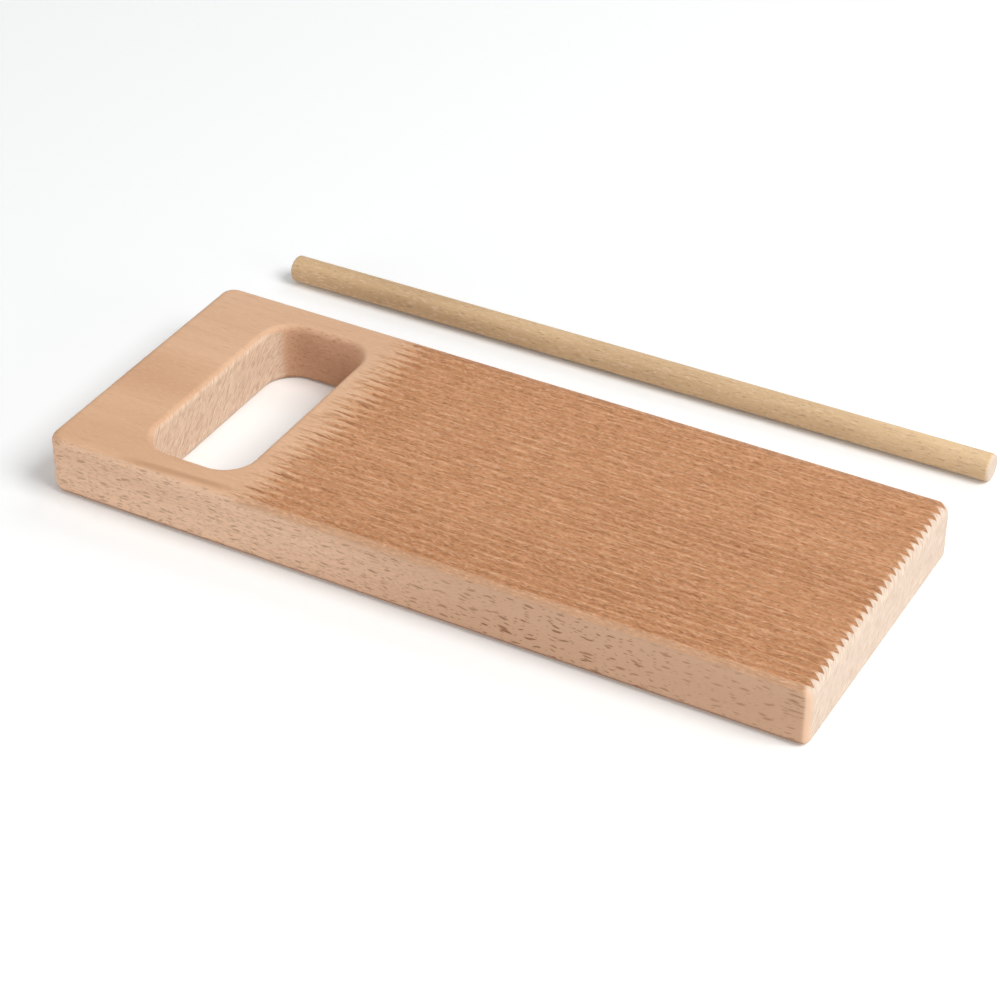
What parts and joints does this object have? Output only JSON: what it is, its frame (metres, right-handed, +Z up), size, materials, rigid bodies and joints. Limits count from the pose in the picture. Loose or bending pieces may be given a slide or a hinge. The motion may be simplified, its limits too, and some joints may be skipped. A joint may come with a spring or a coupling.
{
  "type": "gnocchi board",
  "caption": "Rectangular wooden board with a hand hole at one end, lengthwise V grooves that run out through the other end, and a loose round rolling rod beside it.",
  "frame": {"origin": "centre of the board's underside, on the table", "axes": "+X along the board from the hand hole to the toothed end, +Y across the board towards the loose rod, +Z up out of the grooved face"},
  "size_m": [0.2261, 0.1328, 0.018],
  "materials": {
    "board_beech": "bare sanded beech, matt",
    "rod_beech": "bare sanded beech, matt"
  },
  "bodies": {
    "board": {"board": "board_beech"},
    "rolling_rod": {"rolling_rod": "rod_beech"}
  },
  "joints": [
    {"name": "rod_lift", "type": "slide", "parent": "board", "child": "rolling_rod", "axis": [0, 0, 1], "range_m": [0, 0.05]}
  ]
}
